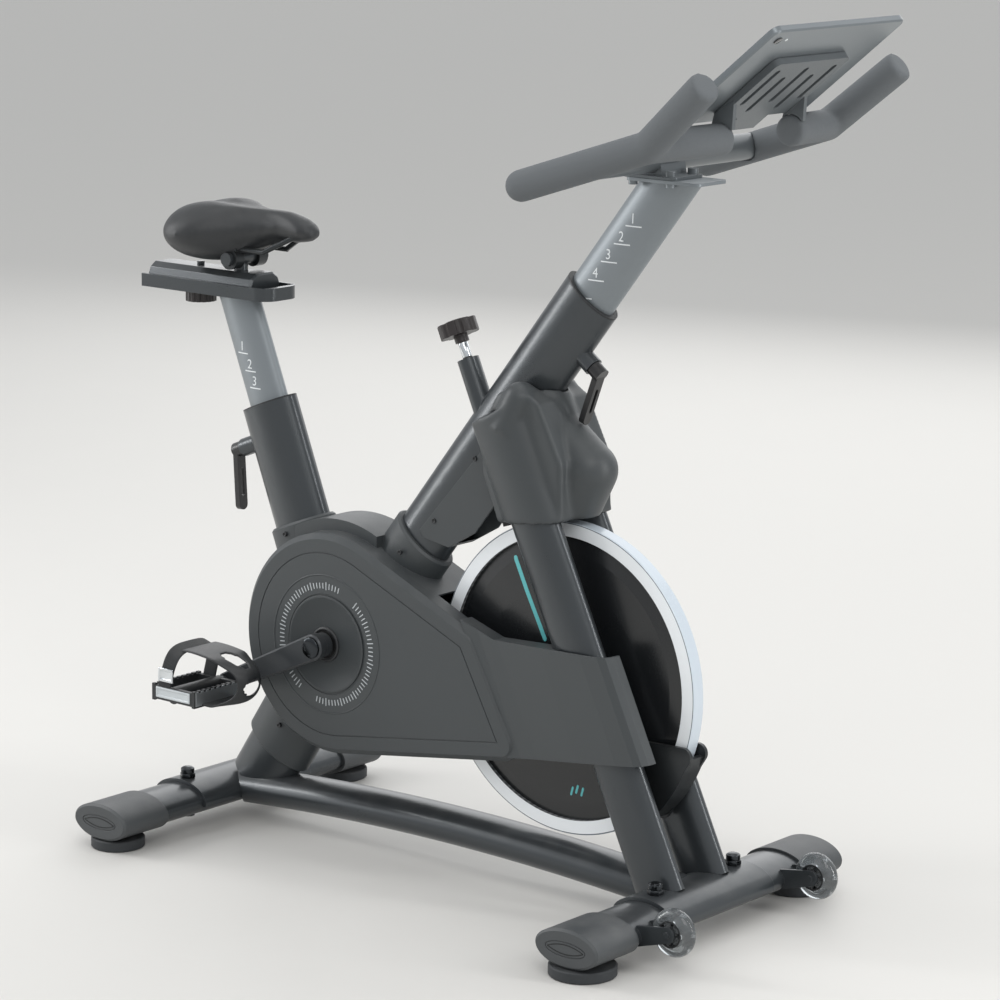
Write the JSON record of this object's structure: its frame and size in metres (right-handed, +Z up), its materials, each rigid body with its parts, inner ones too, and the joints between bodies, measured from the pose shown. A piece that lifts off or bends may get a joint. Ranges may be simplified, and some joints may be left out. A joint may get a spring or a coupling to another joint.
{
  "type": "exercise bike",
  "caption": "Indoor spin bike with belt-driven flywheel, sliding saddle and handlebar posts, brake knob, caged pedals, display holder and levelling feet.",
  "frame": {"origin": "on the floor, midway between the rearmost and foremost points and on the centre plane", "axes": "+Z up, +X towards the handlebar end, the drive side (rider's right) faces -Y"},
  "size_m": [1.0828, 0.518, 1.1098],
  "materials": {
    "frame_paint": "satin charcoal powder coat",
    "post_paint": "satin mid grey powder coat",
    "cover_plastic": "fine textured charcoal plastic",
    "cap_plastic": "moulded end cap plastic",
    "black_plastic": "black moulded plastic",
    "knob_plastic": "soft touch black",
    "holder_plastic": "grey plastic",
    "foam": "grey foam grip",
    "saddle_skin": "black fine grain synthetic leather",
    "foot_rubber": "moulded rubber",
    "belt_rubber": "ribbed belt",
    "wheel_urethane": "clear urethane tyre on black hub",
    "flywheel_disc": "satin dark disc with pale ring",
    "steel": "machined steel",
    "chrome": "polished chrome",
    "alloy": "cast alloy",
    "crank_paint": "satin dark grey forged arm",
    "pad_rubber": "brake pad",
    "strap_web": "black cage with webbing strap",
    "tablet_shell": "dark grey display shell"
  },
  "bodies": {
    "frame": {"main_tube": "frame_paint", "seat_tube": "frame_paint", "rear_post": "frame_paint", "base_tube": "frame_paint", "leg_near": "frame_paint", "leg_far": "frame_paint", "fork_crown": "frame_paint", "bb_shell": "frame_paint", "front_cradle": "frame_paint", "rear_cradle": "frame_paint", "front_stabiliser": "frame_paint", "rear_stabiliser": "frame_paint", "cap_front_near": "cap_plastic", "cap_front_far": "cap_plastic", "cap_rear_near": "cap_plastic", "cap_rear_far": "cap_plastic", "bb_cartridge": "steel", "flywheel_axle": "steel", "cover_near": "cover_plastic", "cover_far": "cover_plastic", "cover_core": "cover_plastic", "shroud": "cover_plastic", "gusset_cover": "cover_plastic", "head_guide": "black_plastic", "seat_guide": "black_plastic", "belt": "belt_rubber"},
    "flywheel_set": {"flywheel": "flywheel_disc", "flywheel_pulley": "alloy"},
    "crank_set": {"crank_spindle": "steel", "drive_pulley": "alloy", "crank_near": "crank_paint", "crank_far": "crank_paint"},
    "pedal_near_set": {"pedal_near": "black_plastic", "toe_clip_near": "strap_web"},
    "pedal_far_set": {"pedal_far": "black_plastic", "toe_clip_far": "strap_web"},
    "brake_slide": {"brake_pad": "pad_rubber"},
    "brake_control": {"brake_rod": "knob_plastic"},
    "magnet_set": {"magnet_bracket": "steel"},
    "seat_post_set": {"seat_post": "post_paint", "seat_tray": "frame_paint"},
    "seat_slide_set": {"seat_slider": "frame_paint"},
    "saddle_set": {"saddle_base": "steel", "saddle": "saddle_skin"},
    "seat_knob_set": {"seat_knob": "knob_plastic"},
    "seat_clamp": {"seat_lever": "knob_plastic"},
    "bar_clamp": {"bar_lever": "knob_plastic"},
    "bar_post_set": {"bar_post": "post_paint", "handlebar_frame": "post_paint", "foam_near": "foam", "foam_far": "foam", "tablet_holder": "holder_plastic"},
    "display": {"tablet": "tablet_shell"},
    "foot_front_near_set": {"foot_front_near": "foot_rubber"},
    "foot_front_far_set": {"foot_front_far": "foot_rubber"},
    "foot_rear_near_set": {"foot_rear_near": "foot_rubber"},
    "foot_rear_far_set": {"foot_rear_far": "foot_rubber"},
    "wheel_near_set": {"wheel_near": "wheel_urethane"},
    "wheel_far_set": {"wheel_far": "wheel_urethane"}
  },
  "joints": [
    {"name": "flywheel_spin", "type": "hinge", "parent": "frame", "child": "flywheel_set", "pos_m": [0.164, 0, 0.2827], "axis": [0, 1, 0], "continuous": true},
    {"name": "crank_spin", "type": "hinge", "parent": "frame", "child": "crank_set", "pos_m": [-0.187, 0, 0.278], "axis": [0, 1, 0], "continuous": true},
    {"name": "pedal_near_spin", "type": "hinge", "parent": "crank_set", "child": "pedal_near_set", "pos_m": [-0.34107, -0.141, 0.20616], "axis": [0, 1, 0], "continuous": true},
    {"name": "pedal_far_spin", "type": "hinge", "parent": "crank_set", "child": "pedal_far_set", "pos_m": [-0.03293, 0.141, 0.34985], "axis": [0, 1, 0], "continuous": true},
    {"name": "brake_press", "type": "slide", "parent": "frame", "child": "brake_slide", "axis": [0.4067, 0, -0.9135], "range_m": [0, 0.0055], "stiffness_N_per_m": 3000, "springref_m": -0.001},
    {"name": "brake_turn", "type": "hinge", "parent": "brake_slide", "child": "brake_control", "pos_m": [-0.01741, 0, 0.69014], "axis": [-0.4067, 0, 0.9135], "range_deg": [0, 1080]},
    {"name": "magnet_swing", "type": "hinge", "parent": "frame", "child": "magnet_set", "pos_m": [0.26802, 0, 0.215], "axis": [0, 1, 0], "range_deg": [0, 6]},
    {"name": "seat_height", "type": "slide", "parent": "frame", "child": "seat_post_set", "axis": [-0.3665, 0, 0.9304], "range_m": [-0.075, 0.06]},
    {"name": "seat_fore_aft", "type": "slide", "parent": "seat_post_set", "child": "seat_slide_set", "axis": [1, 0, 0], "range_m": [-0.06, 0.01]},
    {"name": "saddle_tilt", "type": "hinge", "parent": "seat_slide_set", "child": "saddle_set", "pos_m": [-0.386, 0, 0.753], "axis": [0, 1, 0], "range_deg": [-7, 7]},
    {"name": "seat_knob_turn", "type": "hinge", "parent": "seat_slide_set", "child": "seat_knob_set", "pos_m": [-0.465, 0, 0.69], "axis": [0, 0, 1], "continuous": true},
    {"name": "seat_clamp_turn", "type": "hinge", "parent": "frame", "child": "seat_clamp", "pos_m": [-0.38676, 0, 0.50019], "axis": [-0.9304, 0, -0.3665], "continuous": true},
    {"name": "bar_clamp_turn", "type": "hinge", "parent": "frame", "child": "bar_clamp", "pos_m": [0.19359, 0, 0.67417], "axis": [0.788, 0, -0.6157], "continuous": true},
    {"name": "bar_height", "type": "slide", "parent": "frame", "child": "bar_post_set", "axis": [0.6157, 0, 0.788], "range_m": [-0.115, 0]},
    {"name": "display_lift", "type": "slide", "parent": "bar_post_set", "child": "display", "axis": [0.7771, 0, 0.6293], "range_m": [0, 0.12]},
    {"name": "foot_front_near_turn", "type": "hinge", "parent": "frame", "child": "foot_front_near_set", "pos_m": [0.361, -0.218, 0.02], "axis": [0, 0, 1], "continuous": true},
    {"name": "foot_front_far_turn", "type": "hinge", "parent": "frame", "child": "foot_front_far_set", "pos_m": [0.361, 0.218, 0.02], "axis": [0, 0, 1], "continuous": true},
    {"name": "foot_rear_near_turn", "type": "hinge", "parent": "frame", "child": "foot_rear_near_set", "pos_m": [-0.41, -0.218, 0.02], "axis": [0, 0, 1], "continuous": true},
    {"name": "foot_rear_far_turn", "type": "hinge", "parent": "frame", "child": "foot_rear_far_set", "pos_m": [-0.41, 0.218, 0.02], "axis": [0, 0, 1], "continuous": true},
    {"name": "wheel_near_spin", "type": "hinge", "parent": "frame", "child": "wheel_near_set", "pos_m": [0.44, -0.146, 0.0495], "axis": [0, 1, 0], "continuous": true},
    {"name": "wheel_far_spin", "type": "hinge", "parent": "frame", "child": "wheel_far_set", "pos_m": [0.44, 0.146, 0.0495], "axis": [0, 1, 0], "continuous": true}
  ],
  "couplings": [
    {"joint": "crank_spin", "follows": "flywheel_spin", "ratio": 0.25},
    {"joint": "magnet_swing", "follows": "brake_turn", "ratio": 0.005556}
  ]
}
